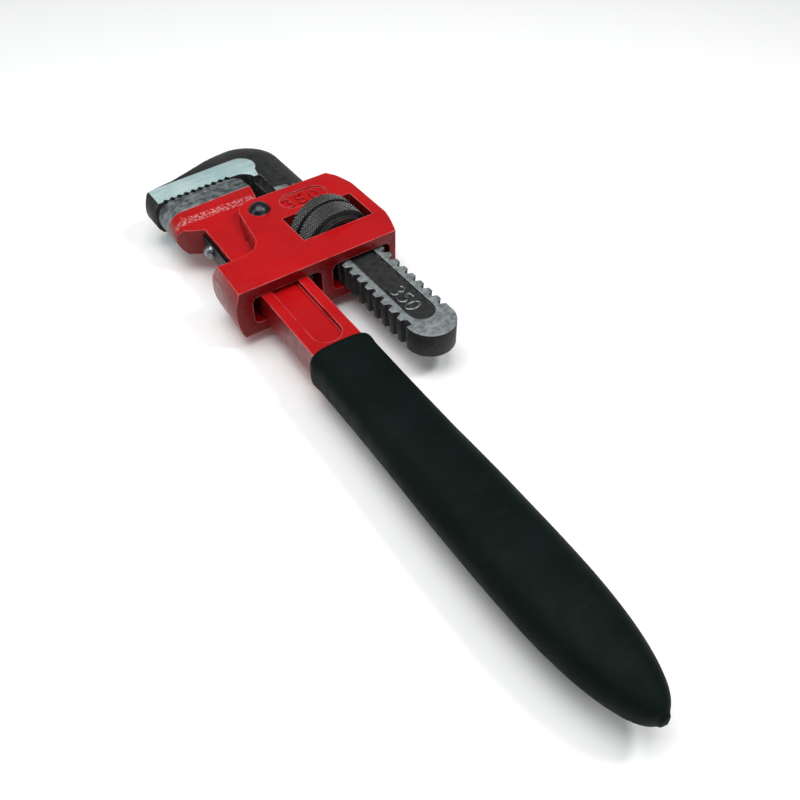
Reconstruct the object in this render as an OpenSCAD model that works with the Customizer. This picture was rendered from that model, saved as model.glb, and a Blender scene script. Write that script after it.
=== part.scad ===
// Stillson pattern pipe wrench, 350 mm size, lying on its side with the jaws closed.
// Worked frame: x = 0 on the handle's centre line, y = 0 on the frame's lower edge,
// z = 0 at mid thickness. The part is then set with its origin at the centre of the
// base of its bounding box: +X across the wrench towards the hook jaw's shank,
// +Y along the handle towards the jaws, +Z up through the thickness.

/* [Handle] */
// Width of the handle bar
bar_w = 20.4; // [19:0.2:21]
// Thickness of the handle bar
bar_t = 11.8; // [11:0.2:12]
// Depth of the recess in each face of the bar
recess_d = 2.0; // [1:0.25:3]
// Lean of the bar away from the frame, in degrees
lean = 1.1; // [0:0.1:1.4]
// Thickness of the jaws across their ground sides
jaw_t = 14.4; // [13.6:0.2:15]

/* [Jaws] */
// Height of the line on which the closed jaws meet, at its rear end
jaw_y = 76.1; // [75.9:0.1:76.3]
// Rise of that line towards the hook jaw's throat, in degrees
jaw_tilt = 2.1; // [1.9:0.1:2.3]
// Spacing of the jaw teeth
tooth_p = 3.26; // [3.2:0.02:3.28]
// Depth of the jaw teeth
tooth_h = 1.3; // [1:0.1:1.4]
// Gap between the closed jaws' tooth tips
jaw_gap = 0.4; // [0.4:0.1:0.6]

/* [Frame] */
// Thickness of the frame over its cheeks
frame_t = 21.6; // [20.8:0.2:23]
// Height of the frame's cheeks
frame_h = 51.6; // [50:0.2:52]
// Clear space between the cheeks
slot_t = 12.6; // [12.4:0.1:13]
// Diameter of the pivot rivet
rivet_d = 6.0; // [5:0.5:7]
// Diameter of the pivot rivet's heads
rivet_head_d = 9.2; // [8:0.2:10]

/* [Shank and nut] */
// Distance of the shank's axis from the handle's centre line
shank_x = 34.7; // [34.3:0.1:35]
// Thickness of the flat shank
shank_t = 10.2; // [9.6:0.2:10.4]
// Outside diameter of the shank's thread
thread_d = 22.4; // [22.2:0.1:22.4]
// Pitch of the thread
thread_p = 5.4; // [5.2:0.1:5.6]
// Outside diameter of the adjusting nut
nut_d = 31.4; // [31:0.1:31.6]

/* [Grip] */
// Length of the wrench below the frame's lower edge
grip_end = 201; // [198:1:206]
// Widest half width of the grip
grip_r = 14.4; // [14:0.2:15]
// Thickness of the grip
grip_t = 18.4; // [18:0.2:19.2]

/* [Hidden] */
$fn = 96;
red = [0.70, 0.02, 0.03];
steel = [0.62, 0.66, 0.66];
forged = [0.10, 0.10, 0.10];
vinyl = [0.02, 0.03, 0.03];

frame_l = -21.8;            // rear wall's outermost line
frame_r = 55.9;             // front wall's outermost line
frame_foot = 50.6;          // front end of the frame's lower edge
nut_y0 = 14.9;              // lower edge of the nut's window
nut_y1 = 32.7;              // upper edge of the nut's window
nut_play = 0.2;             // end clearance of the nut in its window
bar_end = 180;              // end of the bar inside the grip
mouth_y = -39.6;            // open end of the grip
pivot = [12.8, 43.5];
hook_c = [27.5, 88];        // centre of the hook jaw's outer bend
hook_r = 17;                // radius of that bend
neck_x = 25.4;              // throat side of the hook jaw's neck
neck_y = 53.2;              // shoulder between neck and shank
head_y = 66;                // seat of the heel jaw on the handle
valley_x = -14.76;          // first tooth valley of both jaws
valley_c = [-8.3, 29.8];    // centre of the hollow in the frame's upper edge
valley_r = 10.5;            // its radius on the cheek's face
valley_flare = 2.3;         // how much smaller it is at the slot
valley_a = 8.6;             // lean of its straight flank, in degrees
back_x = -19.6;             // rounded back of the heel jaw and of the handle's head
back_r = 7.34;              // radius of that rounding over the thickness
hook_back_x = -21.3;        // rounded end of the hook jaw
back_rivet_y = 43;
front_rivet_y = 21;
leaf_w = 7.4;               // width and thickness of the leaf springs
leaf_t = 1.2;
core_r = 9.1;               // thread root radius
shank_end = -45.4;          // centre of the shank's round end
lead = atan(thread_p / (PI * (thread_d - 2.2)));
origin = [(frame_l + frame_r) / 2, (hook_c[1] + hook_r - grip_end) / 2, -nut_d / 2];

// sets a node into the part's frame
module placed() translate(-origin) children();
// turns the bar, its springs and the grip to the handle's lean
module leaned() translate([0, 25, 0]) rotate([0, 0, -lean]) translate([0, -25, 0]) children();
// a 2D outline made into a plate of thickness t about z = 0
module plate(t) translate([0, 0, -t / 2]) linear_extrude(t) children();
// a 2D section (x, z) run along +Y from y0 to y1
module along_y(y0, y1) translate([0, y1, 0]) rotate([90, 0, 0]) linear_extrude(y1 - y0) children();
// a 2D section (y, z) run along +X from x0 to x1
module along_x(x0, x1)
    translate([x0, 0, 0]) rotate([90, 0, 90]) linear_extrude(x1 - x0) children();
// a slot outline of width w with round ends centred at y0 and y1
module slot(x, y0, y1, w) {
    translate([x - w / 2, y0]) square([w, y1 - y0]);
    for (y = [y0, y1]) translate([x, y]) circle(d = w);
}
// a rectangle from x0 to x1, h high about 0, with corners of radius r
module soft_rect(x0, x1, h, r) {
    translate([x0 + r, -h / 2]) square([x1 - x0 - 2 * r, h]);
    translate([x0, -h / 2 + r]) square([x1 - x0, h - 2 * r]);
    for (x = [x0 + r, x1 - r], y = [-h / 2 + r, h / 2 - r]) translate([x, y]) circle(r);
}
// a shallow dome of diameter d and height h standing on z = 0
module dome(d, h) {
    r = (d * d / 4 + h * h) / (2 * h);
    intersection() {
        translate([0, 0, h - r]) sphere(r);
        cylinder(d = d + 1, h = h + 1);
    }
}
// points of an arc about c, in degrees
function arc(c, r, a0, a1, n) =
    [for (i = [0:n]) c + r * [cos(a0 + (a1 - a0) * i / n), sin(a0 + (a1 - a0) * i / n)]];
// point u tooth pitches along the line on which the jaws meet, and dy above it
function on_line(u, dy) =
    [valley_x + u * tooth_p, jaw_y + u * tooth_p * tan(jaw_tilt) + dy];
// outline of nine teeth with tips dy from the meeting line, depth h (negative hangs down)
function teeth(dy, h) = [for (i = [0:9]) each [
    on_line(i, dy - h), if (i < 9) on_line(i + 0.42, dy), if (i < 9) on_line(i + 0.58, dy)]];
// height of the heel jaw's seat on the handle
function seat(x) = head_y + (x - 3) * tan(jaw_tilt);
// all of space right of x0 between y0 and y1, its rear rounded over the thickness by radius r
module round_side(x0, r, y0, y1) along_y(y0, y1) {
    translate([x0 + r, 0]) circle(r);
    translate([x0 + r, -8]) square([90, 16]);
}

// ---- handle ----
module bar_outline() {
    translate([-bar_w / 2, -bar_end + bar_w / 2]) square([bar_w, bar_end - bar_w / 2 + 35]);
    translate([0, -bar_end + bar_w / 2]) circle(d = bar_w);
}
module head_outline() {
    polygon([[-9, 30], [-9.6, 36], [-9.6, 50.4], [-12.6, 51.5], [-16.5, 54], [back_x, 57.5],
             [back_x, seat(back_x)], [20, seat(20)], [18.8, 60], [17.4, 52], [17.4, 38.5],
             [8, 26]]);
    translate(pivot) circle(7.6);
}
module handle() color(red) placed() difference() {
    intersection() {
        union() {
            plate(bar_t) {
                leaned() bar_outline();
                head_outline();
            }
            intersection() {
                plate(jaw_t) head_outline();
                along_x(-22, 24) polygon([[51, -4], [57.6, -bar_t / 2], [60.3, -jaw_t / 2],
                    [70, -jaw_t / 2], [70, jaw_t / 2], [60.3, jaw_t / 2], [57.6, bar_t / 2], [51, 4]]);
            }
        }
        union() {
            round_side(back_x, back_r, 46, 100);
            translate([-60, -190, -9]) cube([120, 236.5, 18]);
        }
    }
    leaned() for (s = [0, 1]) mirror([0, 0, s]) translate([0, 0, bar_t / 2 - recess_d])
        linear_extrude(recess_d + 1) slot(0, -30.5, 12, 11.6);
    translate(pivot) cylinder(d = rivet_d + 0.04, h = 30, center = true);
    leaned() for (s = [-1, 1]) translate([s * bar_w / 2, s < 0 ? back_rivet_y : front_rivet_y, 0])
        rotate([0, 90, 0]) cylinder(d = 2.84, h = 10.2, center = true);
}
module heel_jaw() color(steel) placed() intersection() {
    plate(jaw_t) polygon(concat(
        [[20, seat(20)], [back_x, seat(back_x)], [back_x, 75.2], [-15.9, 75.6]],
        teeth(-jaw_gap / 2, tooth_h), arc([14.6, 71.1], 5, 75, 0, 6)));
    round_side(back_x, back_r, 60, 90);
}

// ---- grip ----
function grip_half(y) = y > -46 ? 12.8 + 0.9 * (1 - pow(abs(y + 41.8) / 4.2, 2.5))
    : y > -125 ? 12.8 + (grip_r - 12.8) * (1 - cos(180 * max(0, (-50 - y) / 75))) / 2
    : grip_r * sqrt(1 - pow(min(1, (-130 - min(y, -130)) / (grip_end - 130.6)), 3));
module grip() color(vinyl) placed() leaned() difference() {
    union() {
        for (k = [[0, -grip_end - 1, -45, 1], [1, -46, mouth_y, 1.05]]) intersection() {
            rotate([-90, 0, 0]) rotate_extrude() polygon(concat(
                [[0, -grip_end + 0.6]],
                [for (i = [1:10]) let (y = -grip_end + 0.6 + (grip_end - 150) * pow(i / 10, 2))
                    [grip_half(y), y]],
                [for (y = [-130, -115, -100, -85, -70, -58, -50, -46, -45, -43, -41, mouth_y])
                    [grip_half(y), y]],
                [[0, mouth_y]]));
            along_y(k[1], k[2]) intersection() {
                translate([0, grip_t * k[3] / 2 - 31.2]) circle(31.2);
                translate([0, 31.2 - grip_t * k[3] / 2]) circle(31.2);
            }
        }
        translate([0, 1.6 - grip_end, 0]) sphere(1.6);
    }
    plate(bar_t) bar_outline();
}

// ---- frame ----
module frame_outline() {
    translate(pivot) circle(8.5);
    polygon(concat(
        [[frame_l, 0], [frame_foot, 0]],
        arc([frame_r - 64.5, frame_h / 2], 64.5, -20, 20, 12),
        [[frame_foot - 1.2, frame_h], [pivot[0], frame_h], [pivot[0] - 8.3, pivot[1] + 1.5]],
        arc(valley_c, valley_r - valley_flare - 0.6, -valley_a, -90, 8),
        [[frame_l + 1.2, valley_c[1] - valley_r + valley_flare + 0.6]]));
}
// sloping flank of the cheek's valley, as the solid that it leaves open above the slot
module valley() {
    z0 = slot_t / 2 - 0.5;
    h = frame_t / 2 - z0;
    k = valley_flare / (frame_t - slot_t) * 2;
    r0 = valley_r - k * h;
    r1 = valley_r + k;
    translate([valley_c[0], valley_c[1], 0]) {
        translate([0, 0, z0]) cylinder(r1 = r0, r2 = r1, h = h + 1);
        rotate([0, 0, -valley_a]) along_y(0, 16.5)
            polygon([[-30, z0], [r0 - 0.03, z0], [r1 - 0.03, z0 + h + 1], [-30, z0 + h + 1]]);
        along_x(-30, 0) polygon([[0.03 - r0, z0], [30, z0], [30, z0 + h + 1], [0.03 - r1, z0 + h + 1]]);
    }
}
module frame() color(red) placed() difference() {
    intersection() {
        plate(frame_t) frame_outline();
        rotate([0, 0, -3]) along_y(-10, 70) {
            intersection() {
                translate([frame_l, -frame_t / 2]) square([30, frame_t]);
                translate([frame_l + 27.6, 0]) circle(27.6);
            }
            translate([0, -frame_t / 2]) square([70, frame_t]);
        }
        along_y(-10, 70) {
            intersection() {
                translate([25, -frame_t / 2]) square([35, frame_t]);
                translate([frame_r - 45, 0]) circle(45);
            }
            translate([-40, -frame_t / 2]) square([70, frame_t]);
        }
    }
    along_y(-1, 70) soft_rect(-14.7, 15.8, slot_t, 3);
    along_y(-1, 70) soft_rect(20.5, 47.9, slot_t, 3);
    translate([-14.7, 20, -slot_t / 2]) cube([25, 60, slot_t]);
    translate([10, 13.4, -slot_t / 2]) cube([27, 60, slot_t]);
    translate([shank_x, nut_y1, 0]) rotate([90, 0, 0])
        cylinder(d = nut_d + 0.8, h = nut_y1 - nut_y0);
    translate([17.2, nut_y0, -frame_t]) cube([32.4, nut_y1 - nut_y0, 2 * frame_t]);
    translate(pivot) cylinder(d = rivet_d + 0.1, h = 2 * frame_t, center = true);
    for (s = [0, 1]) mirror([0, 0, s]) {
        valley();
        translate([0, 0, frame_t / 2 - 0.8]) linear_extrude(2)
            translate([0, 41.4]) rotate(-90) slot(0, 27, 38, 10.4);
    }
}
module frame_rivet() color(steel) placed() translate(pivot) {
    cylinder(d = rivet_d, h = frame_t, center = true);
    for (s = [0, 1]) mirror([0, 0, s]) translate([0, 0, frame_t / 2]) dome(rivet_head_d, 3.1);
}

// ---- hook jaw ----
// section of the hook's forging: thickest at r = 0, thinning to its parting line at hook_r
module hook_section(r0) intersection() {
    translate([r0, -8]) square([hook_r - r0, 16]);
    translate([0, 27.7]) circle(34.4);
    translate([0, -27.7]) circle(34.4);
}
// plate ground flat along the teeth, ending round above the throat
module hook_flat() polygon(concat(
    [[hook_back_x, 83.4], [hook_back_x, 77.4], [-20.4, 76], [-15.9, 76.05]],
    teeth(jaw_gap / 2, -tooth_h),
    [[16, 77.1]], arc([neck_x - 6.5, 70.6], 6.5, 90, 0, 6),
    [[neck_x + 1.8, 71.5]], arc([23.4, 82.2], 7, -45, 90, 9),
    [[-14.6, 87.5], [-18.6, 86.2]]));
module shank() intersection() {
    plate(shank_t) {
        translate([shank_x, shank_end]) circle(10);
        translate([shank_x - 10, shank_end]) square([20, neck_y - shank_end + 1]);
    }
    union() {
        translate([shank_x, 0, 0]) along_y(-60, neck_y + 1) circle(core_r);
        intersection() {
            translate([shank_x, 0, 0]) along_y(-60, neck_y + 1) circle(d = thread_d);
            union() {
                for (s = [0, 1], i = [0:14]) translate([shank_x, shank_end + (i + s / 2) * thread_p, 0])
                    mirror([s, 0, 0]) translate([0, 3, 0]) rotate([(1 - 2 * s) * lead, 0, 0])
                    plate(16) polygon([[6, -2.75], [12, -0.18], [12, 0.18], [6, 2.75]]);
                translate([0, -60, -8]) cube([60, 60 + shank_end + 1, 16]);
                translate([0, 38.4, -8]) cube([60, neck_y + 1 - 38.4, 16]);
            }
        }
    }
}
module hook_jaw() color(forged) placed() difference() {
    union() {
        intersection() {
            union() {
                plate(jaw_t) hook_flat();
                intersection() {
                    translate(hook_c) along_x(-60, 0) hook_section(-4);
                    plate(20) polygon([[hook_back_x, 76], [hook_back_x, 84.6], [-18.6, 87],
                        [-14, 88.4], [-6, 89.7], [2.3, 92.8], [8, 95.4], [14.5, 98.9],
                        [22, 102.2], [27.5, 104.6], [30, 106], [30, 76]]);
                }
            }
            round_side(hook_back_x, 9.5, 60, 120);
        }
        along_y(neck_y, hook_c[1]) translate([hook_c[0], 0]) hook_section(neck_x - hook_c[0]);
        translate(hook_c) rotate_extrude(angle = 90) hook_section(1.5);
        translate(hook_c) cylinder(r = 2, h = 13.4, center = true);
        shank();
    }
    for (s = [0, 1]) mirror([0, 0, s]) {
        translate([0, 0, shank_t / 2 - 1.1]) linear_extrude(2) slot(shank_x, -39.4, 40, 11.2);
        translate([neck_x - 1.2, 40, 6.7]) rotate([0, 40, 0]) translate([-4, 0, -1.5])
            cube([8, 32, 4]);
    }
}

// ---- adjusting nut ----
// radius of the nut's inside at turn angle a: a ridge near 0, the groove elsewhere
function nut_bore(a) = core_r + 0.35 + 2.1 * min(1, max(0, (abs(a) - 33) / 60));
module adjusting_nut() color(forged) placed() {
    y0 = nut_y0 + nut_play;
    h = nut_y1 - nut_y0 - 2 * nut_play;
    r = nut_d / 2;
    turn = 360 * (y0 - 4 - shank_end) / thread_p + 180;
    translate([shank_x, y0, 0]) rotate([-90, 0, 0]) difference() {
        rotate_extrude() polygon([[0, 0], [r - 2.5, 0], [r - 2.5, 1.9], [r - 0.5, 2.7], [r, 3.2],
            [r, 9.9], [r - 0.5, 10.4], [r - 1.3, 10.5], [r - 1.3, 12.1], [r - 0.4, 12.2],
            [r, 12.6], [r, h - 0.7], [r - 0.6, h], [0, h]]);
        translate([0, 0, -1]) rotate([0, 0, turn])
            linear_extrude(h + 2, twist = -360 * (h + 2) / thread_p, slices = 50, $fn = 24)
            polygon([for (a = [-180:12:168]) nut_bore(a) * [cos(a), sin(a)]]);
    }
}

// ---- leaf springs and their rivets ----
// a leaf lying on x = 0 from y0 up to y1, its lower end bowed out to x = bow
module leaf(y0, y1, yf, bow) plate(leaf_w) polygon(concat(
    [[0, y1], [0, yf]],
    [for (i = [1:8]) [bow * (1 - cos(22.5 * i)) / 2, yf + (y0 - yf) * i / 8]],
    [for (i = [8:-1:1]) [leaf_t + bow * (1 - cos(22.5 * i)) / 2, yf + (y0 - yf) * i / 8]],
    [[leaf_t, yf], [leaf_t, y1]]));
module small_rivet(d, h) rotate([0, 90, 0]) {
    translate([0, 0, -5]) cylinder(d = 2.8, h = 5 + leaf_t);
    translate([0, 0, leaf_t]) dome(d, h);
}
module on_bar(s) leaned() mirror([s < 0 ? 1 : 0, 0, 0]) translate([bar_w / 2, 0, 0]) children();
module back_spring() color(forged) placed() on_bar(-1) difference() {
    leaf(2.5, 50, 30, 2.6);
    translate([0, back_rivet_y, 0]) rotate([0, 90, 0]) cylinder(d = 2.84, h = 6, center = true);
}
module back_spring_rivet() color(steel) placed() on_bar(-1)
    translate([0, back_rivet_y, 0]) small_rivet(6.2, 3.05);
module front_spring() color(forged) placed() on_bar(1) difference() {
    leaf(2.5, 25.5, 17, 1.8);
    translate([0, front_rivet_y, 0]) rotate([0, 90, 0]) cylinder(d = 2.84, h = 6, center = true);
}
module front_spring_rivet() color(steel) placed() on_bar(1)
    translate([0, front_rivet_y, 0]) small_rivet(5, 1.9);

handle();
heel_jaw();
grip();
frame();
frame_rivet();
hook_jaw();
adjusting_nut();
back_spring();
back_spring_rivet();
front_spring();
front_spring_rivet();
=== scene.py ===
"""Stillson pattern pipe wrench, 350 mm size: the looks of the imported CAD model.

Lengths in the constants are in mm, measured in the wrench's own worked frame: x = 0 on the
handle's centre line, y = 0 on the frame's lower edge, z = 0 at mid thickness. at() turns them
into metres in the shared frame, where everything is drawn.
"""
from math import cos, degrees, hypot, pi, radians, sin, sqrt

import bmesh
import bpy
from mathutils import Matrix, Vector


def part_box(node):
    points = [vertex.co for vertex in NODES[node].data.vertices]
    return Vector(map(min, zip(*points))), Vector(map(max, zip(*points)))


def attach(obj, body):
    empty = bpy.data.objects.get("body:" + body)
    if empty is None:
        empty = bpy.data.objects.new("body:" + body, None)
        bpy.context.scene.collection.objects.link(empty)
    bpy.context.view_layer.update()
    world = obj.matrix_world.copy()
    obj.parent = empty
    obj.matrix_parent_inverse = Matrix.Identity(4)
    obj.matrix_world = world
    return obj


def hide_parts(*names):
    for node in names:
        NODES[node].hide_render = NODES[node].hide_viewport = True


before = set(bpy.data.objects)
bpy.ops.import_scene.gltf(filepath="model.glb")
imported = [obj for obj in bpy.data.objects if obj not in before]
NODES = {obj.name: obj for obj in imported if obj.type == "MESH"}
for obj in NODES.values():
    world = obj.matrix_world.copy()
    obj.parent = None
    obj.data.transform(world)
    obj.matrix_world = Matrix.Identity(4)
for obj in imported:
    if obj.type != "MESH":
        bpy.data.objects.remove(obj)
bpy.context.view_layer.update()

MM = 0.001

# the worked frame's zero point, found from the frame and the nut
SHANK_X = 34.7
ORIGIN = Vector((
    (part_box("adjusting_nut")[0].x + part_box("adjusting_nut")[1].x) / 2 - SHANK_X * MM,
    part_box("frame")[0].y,
    (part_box("frame")[0].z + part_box("frame")[1].z) / 2))


def at(x, y, z=0.0):
    """A point of the worked frame, in mm, as metres in the shared frame."""
    return ORIGIN + Vector((x, y, z)) * MM


def worked(corner):
    """A point of the shared frame, in metres, as mm in the worked frame."""
    return (corner - ORIGIN) / MM


# ------------------------------------------------------------------ studio
def studio():
    scene = bpy.context.scene
    scene.view_settings.view_transform = "Standard"
    scene.view_settings.look = "None"

    cam = bpy.data.cameras.new("camera")
    cam.lens, cam.sensor_width = 39.08, 36.0
    cam.clip_start = 0.01
    ob = bpy.data.objects.new("camera", cam)
    ob.location = at(-113.18, -235.89, 217.50)
    ob.rotation_euler = [radians(a) for a in (43.195, -0.238, -34.957)]
    scene.collection.objects.link(ob)
    scene.camera = ob

    bm = bmesh.new()
    bmesh.ops.create_grid(bm, x_segments=1, y_segments=1, size=3.0)
    me = bpy.data.meshes.new("floor")
    bm.to_mesh(me)
    floor = bpy.data.objects.new("floor", me)
    floor.location = (0, 0.12, -0.0002)
    scene.collection.objects.link(floor)
    mat = bpy.data.materials.new("floor_paper")
    mat.use_nodes = True
    bsdf = mat.node_tree.nodes["Principled BSDF"]
    bsdf.inputs["Base Color"].default_value = (0.93, 0.93, 0.93, 1)
    bsdf.inputs["Roughness"].default_value = 0.9
    bsdf.inputs["Specular IOR Level"].default_value = 0.1
    me.materials.append(mat)

    world = bpy.data.worlds.new("world")
    world.use_nodes = True
    sky = world.node_tree.nodes["Background"]
    sky.inputs["Color"].default_value = (0.95, 0.98, 1.0, 1)
    sky.inputs["Strength"].default_value = 0.22
    scene.world = world

    def softbox(name, place, aim, size, watts, colour=(1, 1, 1)):
        light = bpy.data.lights.new(name, "AREA")
        light.shape, light.size, light.size_y = "RECTANGLE", size[0], size[1]
        light.energy, light.color = watts, colour
        lamp = bpy.data.objects.new(name, light)
        lamp.location = place
        lamp.rotation_euler = (Vector(aim) - Vector(place)).to_track_quat("-Z", "Y").to_euler()
        scene.collection.objects.link(lamp)

    softbox("overhead", (-0.10, 0.05, 0.75), (0.0, 0.15, 0.0), (0.60, 0.60), 5.0)
    softbox("key", (0.29, -0.20, 0.56), (0.02, 0.05, 0.0), (0.12, 0.12), 1.5)
    softbox("left_strip", (-0.55, 0.25, 0.30), (0.0, 0.20, 0.0), (0.16, 0.50), 0.7)
    softbox("front_strip", (0.10, -0.55, 0.30), (0.0, 0.15, 0.0), (0.50, 0.14), 0.5)


# ------------------------------------------------------------------ material nodes
class Graph:
    """A small helper to write a material's nodes as one line each."""

    def __init__(self, name):
        self.mat = bpy.data.materials.new(name)
        self.mat.use_nodes = True
        self.tree = self.mat.node_tree
        self.bsdf = self.tree.nodes["Principled BSDF"]
        self.coord = self.tree.nodes.new("ShaderNodeTexCoord")

    def link(self, value, socket):
        if isinstance(value, bpy.types.NodeSocket):
            self.tree.links.new(value, socket)
        else:
            socket.default_value = value

    def set(self, **inputs):
        for key, value in inputs.items():
            self.link(value, self.bsdf.inputs[key.replace("_", " ")])

    def math(self, op, a, b=0.0, c=0.0, clamp=False):
        n = self.tree.nodes.new("ShaderNodeMath")
        n.operation, n.use_clamp = op, clamp
        for value, socket in zip((a, b, c), n.inputs):
            self.link(value, socket)
        return n.outputs[0]

    def place(self, scale=(1, 1, 1), turn=0.0):
        """Object coordinates, turned about z and then scaled, in 1/m."""
        n = self.tree.nodes.new("ShaderNodeMapping")
        n.inputs["Rotation"].default_value = (0, 0, radians(turn))
        n.inputs["Scale"].default_value = scale
        self.tree.links.new(self.coord.outputs["Object"], n.inputs["Vector"])
        return n.outputs[0]

    def noise(self, scale, detail=3.0, rough=0.5, vector=None, distort=0.0):
        n = self.tree.nodes.new("ShaderNodeTexNoise")
        n.inputs["Scale"].default_value = scale
        n.inputs["Detail"].default_value = detail
        n.inputs["Roughness"].default_value = rough
        n.inputs["Distortion"].default_value = distort
        self.tree.links.new(vector or self.coord.outputs["Object"], n.inputs["Vector"])
        return n.outputs["Fac"]

    def ramp(self, value, low, high, a=0.0, b=1.0):
        """value mapped smoothly from low..high to a..b."""
        n = self.tree.nodes.new("ShaderNodeMapRange")
        n.interpolation_type = "SMOOTHSTEP"
        self.link(value, n.inputs["Value"])
        for socket, v in (("From Min", low), ("From Max", high), ("To Min", a), ("To Max", b)):
            self.link(v, n.inputs[socket])
        return n.outputs[0]

    def mix(self, factor, a, b):
        """Colour or number a where factor is 0, b where it is 1."""
        n = self.tree.nodes.new("ShaderNodeMix")
        colour = isinstance(a, tuple) or (hasattr(a, "type") and a.type == "RGBA")
        n.data_type = "RGBA" if colour else "FLOAT"
        ins = [s for s in n.inputs if s.enabled]
        self.link(factor, ins[0])
        for value, socket in ((a, ins[1]), (b, ins[2])):
            self.link((*value, 1) if isinstance(value, tuple) else value, socket)
        return next(s for s in n.outputs if s.enabled)

    def axis(self, letter, zero=0.0):
        """Object coordinate along an axis, in mm of the worked frame."""
        n = self.tree.nodes.new("ShaderNodeSeparateXYZ")
        self.tree.links.new(self.coord.outputs["Object"], n.inputs[0])
        k = "XYZ".index(letter)
        return self.math("MULTIPLY_ADD", n.outputs[k], 1 / MM, -ORIGIN[k] / MM - zero)

    def facing(self, letter):
        """How far the surface faces along an axis, 0 to 1, either way."""
        n = self.tree.nodes.new("ShaderNodeSeparateXYZ")
        self.tree.links.new(self.coord.outputs["Normal"], n.inputs[0])
        return self.math("ABSOLUTE", n.outputs["XYZ".index(letter)])

    def edge(self, radius, low=0.02, high=0.12):
        """1 on edges rounder than radius (m), 0 on open faces."""
        bevel = self.tree.nodes.new("ShaderNodeBevel")
        bevel.samples = 6
        bevel.inputs["Radius"].default_value = radius
        geo = self.tree.nodes.new("ShaderNodeNewGeometry")
        dot = self.tree.nodes.new("ShaderNodeVectorMath")
        dot.operation = "DOT_PRODUCT"
        self.tree.links.new(bevel.outputs[0], dot.inputs[0])
        self.tree.links.new(geo.outputs["Normal"], dot.inputs[1])
        return self.ramp(self.math("SUBTRACT", 1.0, dot.outputs["Value"]), low, high)

    def bump(self, *layers):
        """Bump layers, each (height, depth in metres), chained into the shader's normal."""
        normal = None
        for height, depth in layers:
            n = self.tree.nodes.new("ShaderNodeBump")
            n.inputs["Distance"].default_value = depth
            n.inputs["Strength"].default_value = 1.0
            self.tree.links.new(height, n.inputs["Height"])
            if normal:
                self.tree.links.new(normal, n.inputs["Normal"])
            normal = n.outputs[0]
        self.tree.links.new(normal, self.bsdf.inputs["Normal"])


def red_enamel(name, chips=0.5, glint_flecks=False):
    """Sprayed red enamel over a casting: soft orange peel, chipped on the edges, with a painted
    highlight along the edges, painted shade on the side faces and, on the handle, bare-metal flecks with
    painted glints along its step.
    """
    g = Graph(name)
    broad = g.noise(38, 2)
    grime = g.noise(240, 4, 0.6)
    colour = g.mix(g.ramp(broad, 0.3, 0.7), (0.365, 0.0035, 0.0050), (0.430, 0.0045, 0.0062))
    colour = g.mix(g.ramp(grime, 0.52, 0.80, 0, 0.35), colour, (0.26, 0.004, 0.005))
    # Painted shade: faces turned away from z are mixed towards a dark red, standing in for the shade on
    # the side walls.
    painted_side_shade = g.ramp(g.facing("Z"), 0.15, 0.75, 0.85, 0)
    colour = g.mix(painted_side_shade, colour, (0.110, 0.0018, 0.0025))
    edge = g.edge(0.0007)
    wear_and_glints = g.math("MULTIPLY", edge, g.ramp(g.noise(420, 5, 0.65), 0.62 - 0.1 * chips, 0.72))
    # On the handle: bare-metal flecks mixed with painted glints, speckled in a narrow band about y =
    # 58.9 along the step, on faces turned towards z; they join the wear mask.
    if glint_flecks:
        band = g.ramp(g.math("ABSOLUTE", g.axis("Y", 58.9)), 1.1, 1.6, 1, 0)
        painted_glint_specks = g.math("MULTIPLY", band, g.ramp(g.noise(1100, 3, 0.7), 0.50, 0.58))
        painted_glint_specks = g.math("MULTIPLY", painted_glint_specks, g.ramp(g.facing("Z"), 0.4, 0.6))
        wear_and_glints = g.math("MAXIMUM", wear_and_glints, painted_glint_specks)
    # Painted highlight: a broken pinkish-white line along the rounded edges, standing in for the light
    # they catch.
    painted_edge_highlight = g.math("MULTIPLY", edge, g.ramp(g.noise(160, 3), 0.30, 0.60, 0.12, 0.65))
    painted_edge_highlight = g.mix(painted_edge_highlight, colour, (0.92, 0.24, 0.25))
    g.set(Base_Color=g.mix(wear_and_glints, painted_edge_highlight, (0.66, 0.30, 0.30)),
          Roughness=g.mix(wear_and_glints, g.ramp(grime, 0.3, 0.75, 0.24, 0.42), 0.38),
          Metallic=g.math("MULTIPLY", wear_and_glints, 0.5))
    g.bsdf.inputs["Specular IOR Level"].default_value = 0.20
    g.bsdf.inputs["Coat Weight"].default_value = 0.06
    g.bsdf.inputs["Coat Roughness"].default_value = 0.12
    g.bump((g.noise(130, 3), 0.00016), (g.noise(900, 2), 0.00003),
           (g.math("SUBTRACT", 1.0, wear_and_glints), 0.00005))
    return g.mat


def scratches(g, across, along, turn, low, high):
    """Fine straight scratches running along x turned by an angle."""
    return g.ramp(g.noise(1.0, 4, 0.7, vector=g.place((along, across, across), turn)), low, high)


def ground_steel(name):
    """The heel jaw: bare hardened steel, grit lines from grinding, grey patches, scratches."""
    g = Graph(name)
    grit = scratches(g, 2600, 60, 0.0, 0.30, 0.70)
    stray = scratches(g, 1500, 45, 38, 0.58, 0.66)
    colour = g.mix(g.ramp(g.noise(260, 5, 0.65), 0.36, 0.64), (0.045, 0.052, 0.052), (0.27, 0.31, 0.315))
    colour = g.mix(g.math("MULTIPLY", grit, 0.5), colour, (0.10, 0.12, 0.12))
    colour = g.mix(g.math("MULTIPLY", stray, 0.5), colour, (0.75, 0.79, 0.79))
    colour = g.mix(g.math("MULTIPLY", g.edge(0.0004), 0.5), colour, (0.70, 0.74, 0.74))
    g.set(Base_Color=colour, Roughness=g.mix(grit, 0.36, 0.54), Metallic=0.6)
    g.bump((grit, 0.000012), (stray, 0.00001))
    return g.mat


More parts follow.
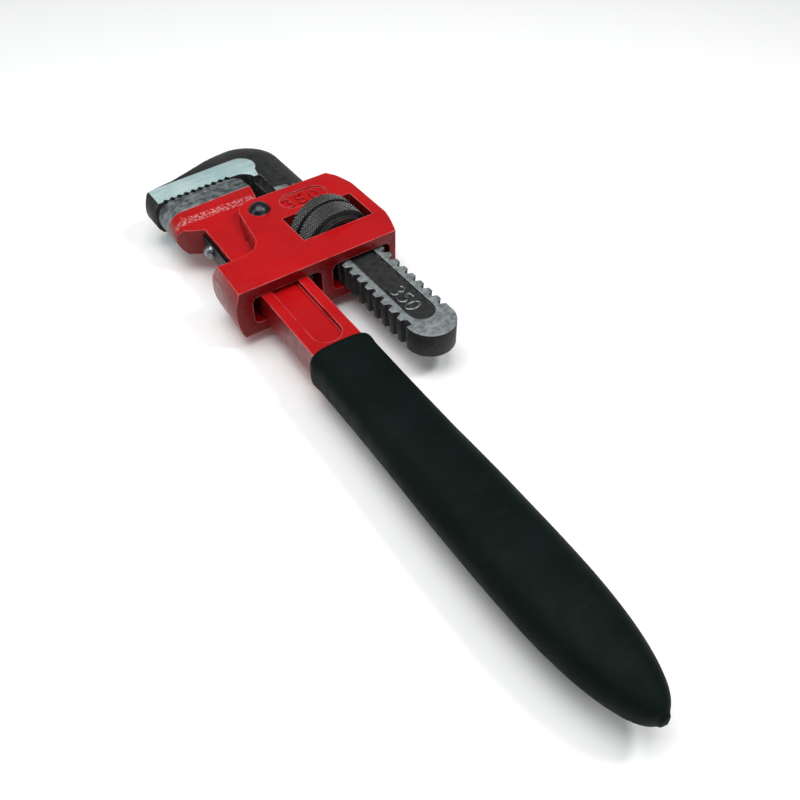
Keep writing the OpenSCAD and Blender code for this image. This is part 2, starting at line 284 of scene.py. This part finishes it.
def jaw_steel(name):
    """The hook jaw: dark forging scale, bare where it has been ground."""
    g = Graph(name)
    grit = scratches(g, 2200, 50, 2.0, 0.30, 0.70)
    stray = scratches(g, 1300, 60, 35.0, 0.60, 0.68)
    cloud = g.noise(120, 4, 0.6)
    height = g.math("ABSOLUTE", g.axis("Z"))
    flat = g.ramp(g.facing("Z"), 0.90, 0.99)
    beyond = g.ramp(g.axis("Y"), 60.0, 60.5)
    ground = g.math("MULTIPLY", g.math("MULTIPLY", g.ramp(height, 6.95, 7.10), flat), beyond)
    rim = g.math("MULTIPLY", g.ramp(height, 4.6, 5.0),
                 g.math("MULTIPLY", flat, g.math("SUBTRACT", 1.0, beyond)))
    edge = g.edge(0.0006)
    worn = g.math("MULTIPLY", edge, g.ramp(g.noise(300, 4, 0.6), 0.40, 0.62))

    scale = g.mix(g.ramp(g.noise(420, 5, 0.65), 0.3, 0.75), (0.012, 0.013, 0.013),
                  (0.030, 0.031, 0.030))
    scale = g.mix(g.ramp(g.noise(90, 3), 0.50, 0.80, 0, 0.5), scale, (0.040, 0.036, 0.029))
    bright = g.mix(g.ramp(cloud, 0.32, 0.70), (0.56, 0.80, 0.80), (0.78, 1.0, 1.0))
    bright = g.mix(g.math("MULTIPLY", grit, 0.45), bright, (0.26, 0.31, 0.31))
    bright = g.mix(g.math("MULTIPLY", stray, 0.5), bright, (0.90, 0.94, 0.94))
    grey = g.mix(g.ramp(g.noise(380, 4, 0.6), 0.3, 0.7), (0.12, 0.135, 0.138),
                 (0.27, 0.30, 0.305))

    colour = g.mix(rim, scale, grey)
    colour = g.mix(g.math("MULTIPLY", worn, 0.55), colour, (0.34, 0.36, 0.36))
    colour = g.mix(ground, colour, bright)
    bare = g.math("MAXIMUM", g.math("MAXIMUM", ground, g.math("MULTIPLY", rim, 0.6)),
                  g.math("MULTIPLY", worn, 0.6))
    rough = g.mix(ground, g.ramp(g.noise(420, 5, 0.65), 0.3, 0.8, 0.46, 0.66),
                  g.mix(grit, 0.34, 0.5))
    g.set(Base_Color=colour, Roughness=rough, Metallic=g.mix(bare, 0.0, 0.60))
    g.bsdf.inputs["Specular IOR Level"].default_value = 0.16
    rind = g.math("MULTIPLY", g.noise(500, 5, 0.7), g.math("SUBTRACT", 1.0, ground))
    g.bump((rind, 0.00016), (g.math("MULTIPLY", grit, ground), 0.000012))
    return g.mat


def phosphate(name):
    """The nut: black phosphate, rubbed bright on the crests of the knurl and on its edges."""
    g = Graph(name)
    x, z = g.axis("X", SHANK_X), g.axis("Z")
    radius = g.math("SQRT", g.math("ADD", g.math("POWER", x, 2.0), g.math("POWER", z, 2.0)))
    outer = (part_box("adjusting_nut")[1].z - ORIGIN.z) / MM
    crest = g.ramp(radius, outer - 0.20, outer - 0.02)
    patch = g.ramp(g.noise(260, 4, 0.6), 0.35, 0.65, 0.35, 1)
    worn = g.math("MAXIMUM", g.math("MULTIPLY", crest, patch),
                  g.math("MULTIPLY", g.edge(0.0003), 0.7))
    base = g.mix(g.ramp(g.noise(500, 4), 0.3, 0.7), (0.006, 0.006, 0.006), (0.016, 0.016, 0.015))
    g.set(Base_Color=g.mix(g.math("MULTIPLY", worn, 0.8), base, (0.36, 0.37, 0.37)),
          Roughness=g.mix(worn, 0.58, 0.36), Metallic=g.mix(worn, 0.1, 0.9))
    g.bsdf.inputs["Specular IOR Level"].default_value = 0.2
    g.bump((g.noise(1400, 3), 0.00003))
    return g.mat


def dark_polish(name, low=(0.045, 0.050, 0.058), high=(0.11, 0.12, 0.135), rough=0.20):
    """Hard blackened steel, polished by handling."""
    g = Graph(name)
    cloud = g.noise(700, 4, 0.6)
    edge = g.edge(0.0004)
    g.set(Base_Color=g.mix(g.math("MULTIPLY", edge, 0.6), g.mix(g.ramp(cloud, 0.3, 0.7), low, high),
                           (0.36, 0.38, 0.40)),
          Roughness=g.ramp(cloud, 0.25, 0.8, rough, rough + 0.18), Metallic=0.9)
    g.bump((g.noise(1600, 3), 0.000012))
    return g.mat


def dipped_vinyl(name):
    """Thick dipped vinyl, near black with a green cast, faintly rippled, scuffed dull."""
    g = Graph(name)
    cloud = g.noise(45, 3)
    scuff = scratches(g, 500, 60, 80.0, 0.58, 0.72)
    colour = g.mix(g.ramp(cloud, 0.3, 0.7), (0.0022, 0.0055, 0.0046), (0.0036, 0.0080, 0.0070))
    g.set(Base_Color=g.mix(g.math("MULTIPLY", scuff, 0.35), colour, (0.009, 0.016, 0.014)),
          Roughness=g.ramp(g.noise(160, 4), 0.3, 0.7, 0.50, 0.62))
    g.bsdf.inputs["Specular IOR Level"].default_value = 0.05
    g.bump((g.noise(70, 2), 0.0003), (g.noise(1500, 3), 0.00002))
    return g.mat


# ------------------------------------------------------------------ carried-over CAD nodes
def dress(node, material, round_mm=0.0, segments=2):
    """Gives a CAD node its material, and rounds its edges where they are really round."""
    ob = NODES[node]
    ob.data.materials.clear()
    ob.data.materials.append(material)
    for p in ob.data.polygons:
        p.use_smooth = True
    if not round_mm:
        return ob
    weld = ob.modifiers.new("weld", "WELD")
    weld.merge_threshold = 2e-6
    flat = ob.modifiers.new("planes", "DECIMATE")
    flat.decimate_type, flat.angle_limit = "DISSOLVE", radians(0.4)
    bev = ob.modifiers.new("round", "BEVEL")
    bev.width, bev.segments = round_mm * MM, segments
    bev.limit_method, bev.angle_limit = "ANGLE", radians(32)
    bev.harden_normals = True
    ob.modifiers.new("tri", "TRIANGULATE").keep_custom_normals = True
    return ob


# ------------------------------------------------------------------ new pieces
def piece(name, verts, faces, material, body, smooth=True):
    """A mesh in the shared frame (points in mm of the worked frame) riding a body."""
    me = bpy.data.meshes.new(name)
    me.from_pydata([at(*v) for v in verts], [], faces)
    me.materials.append(material)
    bm = bmesh.new()
    bm.from_mesh(me)
    bmesh.ops.remove_doubles(bm, verts=bm.verts, dist=1e-7)
    bmesh.ops.recalc_face_normals(bm, faces=bm.faces)
    for f in bm.faces:
        f.smooth = smooth
    bm.to_mesh(me)
    bm.free()
    ob = bpy.data.objects.new(name, me)
    bpy.context.scene.collection.objects.link(ob)
    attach(ob, body)
    return ob


def lattice(rows, closed=True, flip_odd=None):
    """Faces joining equal rings of points; rows is how many rings, each n points long."""
    n, count = rows
    out = []
    for j in range(count - 1):
        for i in range(n if closed else n - 1):
            a, b = j * n + i, j * n + (i + 1) % n
            c, d = b + n, a + n
            if flip_odd is None:
                out.append((a, b, c, d))
            elif flip_odd(i, j):
                out += [(a, b, c), (a, c, d)]
            else:
                out += [(a, b, d), (b, c, d)]
    return out


def knurled_nut(material):
    """The adjusting nut: two diamond-knurled rims with a plain groove between, threaded bore."""
    lo, hi = (worked(c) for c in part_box("adjusting_nut"))
    y0, y1, outer = lo.y, hi.y, hi.z
    h = y1 - y0
    pitch, core, shank_end = 5.4, 9.45, worked(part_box("hook_jaw")[0]).y + 10
    around, deep = 132, 0.6
    verts, faces = [], []

    def ring(radius_at, y):
        for i in range(around):
            a = 2 * pi * i / around
            verts.append((SHANK_X + radius_at(i) * cos(a), y, radius_at(i) * sin(a)))

    # outside, from the lower end face up to the upper one: (inset, height) of each plain ring,
    # or (from, to, cells) of each knurled band
    first, rows = {}, 0
    for part in ((2.5, 0), (2.5, 1.0), (2.5, 1.9), (0.5, 2.7), (3.2, 9.9, 10), (0.5, 10.4),
                 (1.3, 10.5), (1.3, 12.1), (0.4, 12.2), (12.6, h - 0.7, 6), (0.6, h)):
        if len(part) == 2:
            ring(lambda i: outer - part[0], y0 + part[1])
            rows += 1
            continue
        low, high, cells = part
        for j in range(cells + 1):
            first[rows + j] = rows
            ring(lambda i: outer - deep * ((i + j) % 2), y0 + low + (high - low) * j / cells)
        rows += cells + 1

    # in a knurled band each square is split along its two low corners, which makes pyramids
    def split(i, j):
        return (i + j - first.get(j, j)) % 2 == 1

    faces += lattice((around, rows), flip_odd=split)
    # bore: a helical ridge that runs in the shank's thread
    base = len(verts)
    turn = 360 * (y0 - 4 - shank_end) / pitch + 180
    n, steps = 72, 60

    def bore(a, y):
        local = degrees(-a) - turn - 360 * (y - y0 + 1) / pitch
        local = abs((local + 180) % 360 - 180)
        return core + 2.1 * min(1, max(0, (local - 33) / 60))

    for j in range(steps + 1):
        y = y0 + h * j / steps
        for i in range(n):
            a = 2 * pi * i / n
            verts.append((SHANK_X + bore(a, y) * cos(a), y, bore(a, y) * sin(a)))
    faces += [tuple(base + v for v in f) for f in lattice((n, steps + 1))]
    # end faces, each a fan joining the bore's points to the rim's points
    for y, outer_start, bore_start in ((y0, 0, base), (y1, (rows - 1) * around, base + steps * n)):
        for i in range(n):
            # each of the bore's points takes its share of the rim's points
            k0, k1 = round(i * around / n), round((i + 1) * around / n)
            b0, b1 = bore_start + i, bore_start + (i + 1) % n
            fan = [outer_start + k % around for k in range(k0, k1 + 1)]
            faces.append((b0, *fan, b1))
    ob = piece("knurled_nut", verts, faces, material, "adjusting_nut", smooth=False)
    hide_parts("adjusting_nut")
    return ob


LEAN = 1.1


def lean(x, y):
    """A point of the handle's straight frame, turned with the bar about (0, 25)."""
    c, s = cos(radians(-LEAN)), sin(radians(-LEAN))
    return x * c - (y - 25) * s, 25 + x * s + (y - 25) * c


def vinyl_grip(material):
    """The dipped grip: a rolled lip at the mouth, a slight neck, a long swell and a drip at the end."""
    end, mouth = -201.0, -39.6
    bar_half, bar_up = 10.2, 5.9
    stations = []

    def half(y):
        if y > -50:
            return 12.75
        if y > -125:
            return 12.75 + 1.6 * (1 - cos(pi * (-50 - y) / 75)) / 2
        body = 14.35 * sqrt(max(0.0, 1 - ((-130 - min(y, -130)) / 69.4) ** 3))
        if y > -190:
            return body
        past = max(0.0, -198.8 - y)
        drip = 2.2 * sqrt(max(0.0, 1 - (past / 2.21) ** 2)) + 0.3 * max(0.0, y + 198.8)
        return (body ** 3 + drip ** 3 * (-190 - y) / 11) ** (1 / 3)

    # mouth: from the bar's surface out over the lip
    for back, grow in ((0.9, -2.2), (0.1, -1.7), (0.0, -0.9), (0.25, -0.3), (0.9, 0.05),
                       (2.0, 0.25), (3.6, 0.1), (5.2, -0.12), (7.5, -0.15)):
        stations.append((mouth - back, 12.75 + grow, 9.1 + grow, 3.6))
    count = 54
    for k in range(1, count + 1):
        t = k / count
        y = mouth - 7.5 - (end + 0.9 - mouth + 7.5) * -(1 - (1 - t) ** 1.6)
        w = half(y)
        up = min(9.15, 9.33 * sqrt(min(1.0, w / 14.35)), 1.3 * w + 0.3)
        blend = min(1.0, (mouth - 7.5 - y) / 45)
        stations.append((y, w, up, 3.6 - 1.25 * blend))
    ringlen = 48
    verts = []
    for y, w, up, power in stations:
        for i in range(ringlen):
            a = 2 * pi * i / ringlen
            c, s = cos(a), sin(a)
            x = w * abs(c) ** (2 / power) * (1 if c > 0 else -1)
            z = up * abs(s) ** (2 / power) * (1 if s > 0 else -1)
            px, py = lean(x, y)
            verts.append((px, py, z))
    faces = lattice((ringlen, len(stations)))
    tip = len(verts)
    px, py = lean(0, end + 0.1)
    verts.append((px, py, 0))
    last = (len(stations) - 1) * ringlen
    faces += [(last + i, last + (i + 1) % ringlen, tip) for i in range(ringlen)]
    ob = piece("vinyl_grip", verts, faces, material, "handle")
    ob.modifiers.new("smooth", "SUBSURF").levels = 1
    ob.modifiers["smooth"].render_levels = 1
    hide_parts("grip")
    return ob


# ------------------------------------------------------------------ raised size numbers
def arc(cx, cy, rx, ry, a0, a1, n=9):
    return [(cx + rx * cos(radians(a0 + (a1 - a0) * k / n)),
             cy + ry * sin(radians(a0 + (a1 - a0) * k / n))) for k in range(n + 1)]


def digit_strokes(digit):
    """Centre lines of a digit, in a box 0.62 wide and 1 high."""
    if digit == "3":
        return [arc(0.30, 0.74, 0.27, 0.25, 150, -80) + arc(0.30, 0.26, 0.31, 0.26, 85, -150)]
    if digit == "5":
        return [[(0.56, 0.99), (0.12, 0.99), (0.08, 0.56)] + arc(0.28, 0.32, 0.31, 0.31, 112, -150)]
    return [arc(0.31, 0.5, 0.29, 0.5, 90, 450, 24)]


def rounded_stroke(verts, faces, path, half_w, height, place):
    """A raised stroke with sloping sides along a flat path; place() maps (u, v, z) to mm."""
    closed = hypot(path[0][0] - path[-1][0], path[0][1] - path[-1][1]) < 1e-6
    pts = path[:-1] if closed else path
    n = len(pts)
    profile = [(-1.0, -0.4), (-0.95, 0.35), (-0.6, 0.85), (-0.2, 1.0),
               (0.2, 1.0), (0.6, 0.85), (0.95, 0.35), (1.0, -0.4)]
    start = len(verts)
    for k, (u, v) in enumerate(pts):
        a = pts[k - 1] if (k or closed) else pts[0]
        b = pts[(k + 1) % n] if (k < n - 1 or closed) else pts[-1]
        du, dv = b[0] - a[0], b[1] - a[1]
        size = hypot(du, dv) or 1
        nu, nv = -dv / size, du / size
        for across, up in profile:
            verts.append(place(u + nu * across * half_w, v + nv * across * half_w, up * height))
    m = len(profile)
    for k in range(n if closed else n - 1):
        for i in range(m - 1):
            a, b = start + k * m + i, start + ((k + 1) % n) * m + i
            faces.append((a, a + 1, b + 1, b))
    if not closed:
        faces.append(tuple(start + i for i in range(m)))
        faces.append(tuple(start + (n - 1) * m + i for i in reversed(range(m))))


def size_number(name, material, body, height, pitch, half_w, up, place):
    """The raised size number; place(u, v, z) puts it on its face, u along the writing."""
    verts, faces = [], []
    for k, digit in enumerate("350"):
        for path in digit_strokes(digit):
            line = [(k * pitch + u * height, v * height) for u, v in path]
            rounded_stroke(verts, faces, line, half_w, up, place)
    piece(name, verts, faces, material, body)


def size_numbers(paint, bright):
    frame_top = worked(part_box("frame")[1]).z
    for side, tag in ((1, "upper"), (-1, "lower")):
        # on the frame's cheek, in its recess, reading along +x
        floor = frame_top - 0.8
        size_number(
            f"frame_size_{tag}", paint, "frame", 6.0, 6.3, 0.6, 0.7,
            lambda u, v, z, s=side, f=floor: (23.0 + u if s > 0 else 41.6 - u, 38.4 + v, s * (f + z)))
        # in the shank's panel, reading down the shank
        size_number(
            f"shank_size_{tag}", bright, "hook_jaw", 6.2, 5.2, 0.72, 0.7,
            lambda u, v, z, s=side: (SHANK_X - 3.6 * s + v * s, -22.8 - u, s * (4.0 + z)))


# ------------------------------------------------------------------ build
studio()
dress("frame", red_enamel("frame_enamel"), 0.45, 3)
dress("handle", red_enamel("handle_enamel", glint_flecks=True), 0.5, 3)
dress("heel_jaw", ground_steel("heel_steel"), 0.12)
dress("hook_jaw", jaw_steel("hook_steel"), 0.3)
dress("frame_rivet", dark_polish("rivet_polish", (0.022, 0.024, 0.028), (0.050, 0.054, 0.060), 0.24))
spring_steel = dark_polish("spring_blue", (0.007, 0.008, 0.009), (0.016, 0.017, 0.019), 0.34)
spring_rivet = dark_polish("spring_rivet_polish", (0.10, 0.11, 0.12), (0.26, 0.27, 0.29), 0.22)
for end in ("back", "front"):
    dress(f"{end}_spring", spring_steel, 0.08)
    dress(f"{end}_spring_rivet", spring_rivet)
knurled_nut(phosphate("nut_phosphate"))
vinyl_grip(dipped_vinyl("grip_vinyl"))
size_numbers(red_enamel("number_enamel", chips=0.2),
             dark_polish("number_steel", (0.05, 0.053, 0.053), (0.24, 0.25, 0.25), 0.30))
